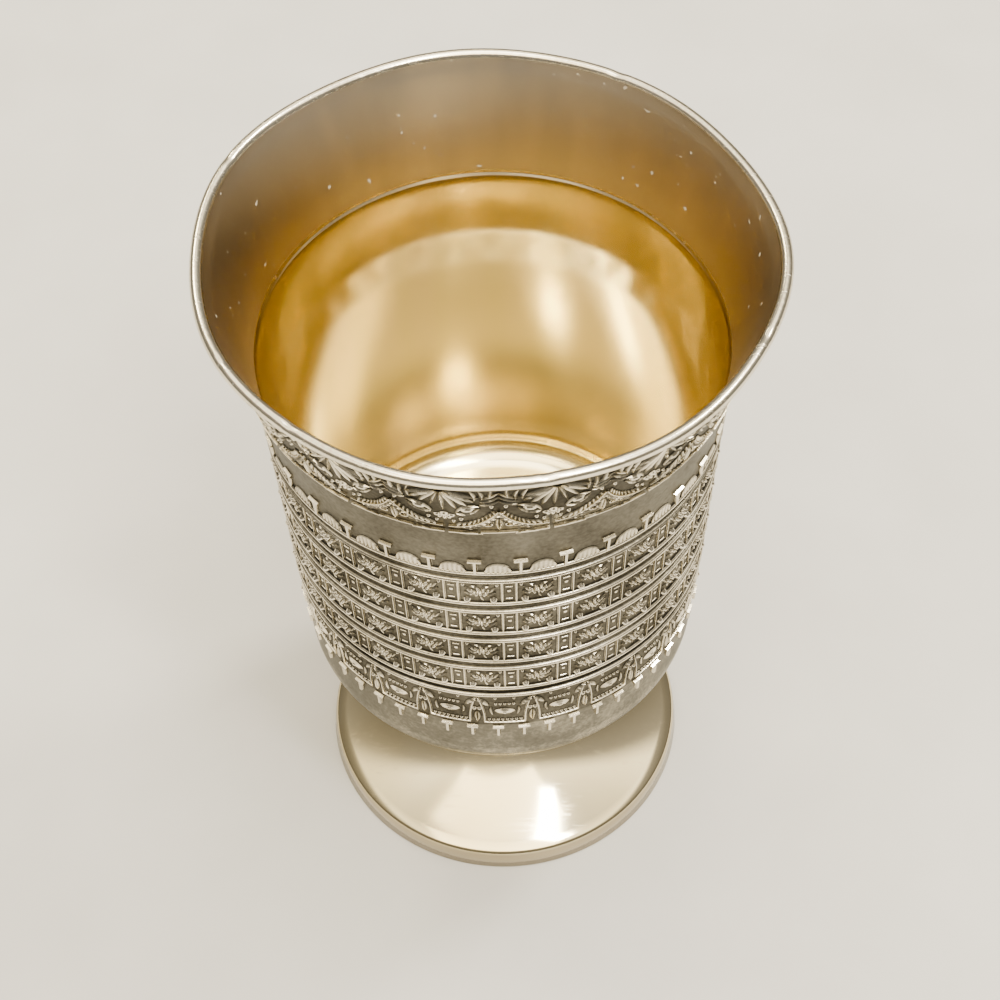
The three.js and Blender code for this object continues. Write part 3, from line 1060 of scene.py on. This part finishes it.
pilasters = Sheet()
for x in (-PILASTER_WIDE / 2, PILASTER_WIDE / 2):
    upright = [(x, y) for y in (PANEL_FOOT - 0.1, PANEL_MIDDLE, PANEL_TOP + 0.1)]
    pilasters.line(upright, 0.22, 0.26, 0.24)
for y in (PANEL_MIDDLE + 1.5, PANEL_MIDDLE - 1.7):
    pilasters.line([(-0.5, y), (0.5, y)], 0.18, 0.14, 0.1, 0.8)
pilasters.bead(0, PANEL_MIDDLE + 0.3, 0.7, 0.7, 0.2, math.pi / 4, 4)
roll("pilasters", pilasters, PANEL_COLUMNS, PILASTER_AZIMUTH, PANEL_MIDDLE, PANEL_ROWS, RING_PITCH)

# %% Sprigs and corner beads
SPRIG_FLORETS = 13
SPRIG_AZIMUTH = PILASTER_AZIMUTH + 180.0 / PANEL_COLUMNS
GOLDEN_ANGLE = math.radians(137.5)
# Widths and shades of skirts
BEAD_SKIRT = (0.08, 0.8)
LEAF_SKIRT = (0.08, 0.75)
# Leaves of one side, from the panel's middle: root, middle, tip and width
SPRIG_LEAVES = [
    ((1.3, 0.2), (1.8, 0.6), (2.2, 1.4), 0.5),
    ((1.0, -0.7), (1.5, -0.6), (2.3, 0.1), 0.45),
    ((0.3, 1.1), (0.6, 1.6), (1.3, 1.8), 0.42),
]

sprigs = Sheet()
for floret in range(SPRIG_FLORETS):
    out = 0.3 * math.sqrt(floret)
    a = GOLDEN_ANGLE * floret
    x = 1.5 * out * math.cos(a)
    y = PANEL_MIDDLE + 0.1 + 0.95 * out * math.sin(a)
    sprigs.bead(x, y, 0.6, 0.54, 0.56 - 0.02 * floret, a, 6, 0.05, 0.5)
for hand in (-1, 1):
    for root, through, tip, wide in SPRIG_LEAVES:
        path = [(hand * x, PANEL_MIDDLE + y) for x, y in bend(root, through, tip, 3)]
        sprigs.leaf(path, wide, 0.36, *LEAF_SKIRT)
    sprigs.bead(hand * 1.95, PANEL_FOOT + 0.72, 1.15, 1.05, 0.68, 0, 8, *BEAD_SKIRT)
    sprigs.bead(hand * 2.5, PANEL_TOP - 0.7, 0.5, 0.5, 0.36, 0, 6, *BEAD_SKIRT)
stalk = bend((-0.1, PANEL_MIDDLE - 0.8), (0.1, PANEL_MIDDLE - 1.4), (0.5, PANEL_MIDDLE - 2.0), 3)
sprigs.leaf(stalk, 0.4, 0.3, *LEAF_SKIRT)
roll("sprigs", sprigs, PANEL_COLUMNS, SPRIG_AZIMUTH, PANEL_MIDDLE, PANEL_ROWS, RING_PITCH)

# %% [markdown]
# ## Cartouches and drops
# Below the rings runs a border of pointed cartouches edged with fine beads, and under it hangs a row of
# bright T-shaped drops on the plain foot of the wall. They are two bands, because their counts differ.

# %% Cartouches
CARTOUCHE_COPIES = 24
CARTOUCHE_Z = 58.6
CARTOUCHE_TOP = ring_feet[-1] - WIRE_HALF_WIDTH - 0.3
CARTOUCHE_FOOT = 54.9
# Leaves of one side: root, middle, tip, steps, width and lift
CARTOUCHE_LEAVES = [
    ((4.3, 62.2), (3.6, 61.8), (2.6, 60.6), 4, 0.95, 0.5),
    ((2.0, 57.5), (2.5, 58.5), (2.2, 59.9), 3, 0.5, 0.32),
    ((4.45, 55.2), (4.0, 56.6), (4.4, 58.4), 4, 0.6, 0.35),
]

cartouches = Sheet()
cartouches.bead(0, CARTOUCHE_Z, 3.3, 1.5, 0.5, 0, 10)
cartouches.bead(0, CARTOUCHE_Z + 0.05, 1.3, 0.9, 0.68, 0, 6)
for count, pitch, y in ((5, 0.72, CARTOUCHE_Z + 2.3), (8, 0.74, CARTOUCHE_FOOT + 0.9)):
    for i in range(count):
        cartouches.bead(pitch * (i - (count - 1) / 2), y, 0.5, 0.46, 0.34, 0, 6)
cartouches.line([(1.1 * (i - 3), CARTOUCHE_FOOT) for i in range(7)], 0.3, 0.24)
for hand in (-1, 1):
    side = [(4.3, CARTOUCHE_TOP - 0.2), (3.1, CARTOUCHE_Z), (3.3, CARTOUCHE_FOOT)]
    cartouches.line(bend(*[(hand * x, y) for x, y in side], 5), 0.28, 0.26)
    for root, through, tip, steps, wide, lift in CARTOUCHE_LEAVES:
        path = bend(*[(hand * x, y) for x, y in (root, through, tip)], steps)
        cartouches.leaf(path, wide, lift)
    cartouches.bead(hand * 4.05, 59.4, 0.8, 0.7, 0.45, 0, 6)
    cartouches.bead(hand * 1.5, CARTOUCHE_TOP - 0.5, 0.5, 0.4, 0.3, 0, 6)
roll("cartouches", cartouches, CARTOUCHE_COPIES, 0.0, CARTOUCHE_Z)

# %% Drops
DROP_COPIES = 51
DROP_FIRST = -1.9
DROP_TOP = 53.4
DROP_TALL = 2.5
DROP_BAR = 1.8

drops = Sheet()
shaft = [(0, DROP_TOP - DROP_TALL * share) for share in (0, 0.5, 1)]
drops.line(shaft, 0.72, 0.5, *BRIGHT_SKIRT)
drops.line([(x * DROP_BAR / 2, DROP_TOP) for x in (-1, 0, 1)], 0.62, 0.52, *BRIGHT_SKIRT)
roll("drops", drops, DROP_COPIES, DROP_FIRST, DROP_TOP)

# %% [markdown]
# ## Floor and light
# A pale, plain floor carries the cup. Polished metal shows only what surrounds it, so the light is a few soft
# panels with darker gaps between them, and a sky that is dim at the horizon and bright half way up. A picture
# of a room would mirror more richly, but each panel can be placed by the highlight that it makes.

# %% Floor
FLOOR_HALF = 1.5
PAPER_TONES = [(0.0, (0.66, 0.65, 0.63)), (1.0, (0.70, 0.69, 0.67))]
PAPER_ROUGHNESS = 0.85

paper, tree, shader, place = new_finish("pale_paper", 0.0)
fibre = use_group(tree, clouds, {"Vector": place, "Scale": 30.0, "Detail": 4.0, "Low": 0.0, "High": 1.0})
fill(tree, shader, {"Base Color": ramp(tree, fibre, PAPER_TONES), "Roughness": PAPER_ROUGHNESS})
floor_mesh = bpy.data.meshes.new("floor")
corners = [(x * FLOOR_HALF, y * FLOOR_HALF, 0) for x, y in ((-1, -1), (1, -1), (1, 1), (-1, 1))]
floor_mesh.from_pydata(corners, [], [(0, 1, 2, 3)])
floor_mesh.materials.append(paper)
floor = new_object("floor", floor_mesh)

# %% Lights and world
MIRROR_BOUNCES = 10
SKY_LOWEST = -0.2
SKY_STRENGTH = 1.2
SKY_STOPS = [
    (0.0, (0.15, 0.143, 0.13)),
    (0.3, (0.18, 0.169, 0.151)),
    (0.6, (0.26, 0.24, 0.208)),
    (0.73, (0.40, 0.37, 0.32)),
    (0.79, (1.82, 1.65, 1.3)),
    (1.0, (0.62, 0.57, 0.49)),
]


def panel(name, place, aim, wide, tall, power, colour):
    """A soft rectangular light that faces a point."""
    data = bpy.data.lights.new(name, "AREA")
    data.shape = "RECTANGLE"
    data.size = wide
    data.size_y = tall
    data.energy = power
    data.color = colour
    made = new_object(name, data)
    made.location = place
    made.rotation_euler = (Vector(aim) - Vector(place)).to_track_quat("-Z", "Y").to_euler()


panel("overhead", (0, 0.05, 1.4), (0, 0, 0), 0.7, 0.7, 7.0, (1.0, 0.93, 0.81))
panel("right_strip", (0.517, 0.281, 1.05), (0, 0, 0.06), 0.17, 0.10, 4.4, (1.0, 0.95, 0.84))
panel("left_strip", (-0.50, 0.77, 0.88), (0, 0, 0.06), 0.34, 0.12, 2.6, (1.0, 0.90, 0.64))
panel("front_strip", (0.276, -0.38, 1.07), (0, 0, 0.02), 0.13, 0.44, 5.0, (1.0, 0.98, 0.93))
panel("front_softbox", (-0.07, -0.52, 1.0), (0, 0, 0.02), 0.96, 0.50, 4.3, (1.0, 0.87, 0.62))

world = bpy.data.worlds.new("studio")
bpy.context.scene.world = world
world.use_nodes = True
sky = world.node_tree
direction = add(sky, "ShaderNodeTexCoord").outputs["Generated"]
height = axes(sky, direction)["Z"]
glow = ramp(sky, spread(sky, height, 0.0, 1.0, SKY_LOWEST, 1.0), SKY_STOPS)
fill(sky, sky.nodes["Background"], {"Color": glow, "Strength": SKY_STRENGTH})
# Light crosses the gilt bowl many times before it leaves, so mirror paths may be long
bpy.context.scene.cycles.glossy_bounces = MIRROR_BOUNCES

# %% [markdown]
# ## Attach the pieces
# The cup has no moving parts, so every piece rides on the one body. The turned beaker and foot stand for
# their plain solids, and the rolled bands belong to the beaker's finish.

# %% Ride, replace and count triangles
pieces = [beaker, foot] + ornaments
for piece in pieces:
    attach(piece, "root")
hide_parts("bowl")
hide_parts("foot")
triangles = sum(len(p.vertices) - 2 for piece in pieces for p in piece.data.polygons)
print("triangles in all:", triangles)
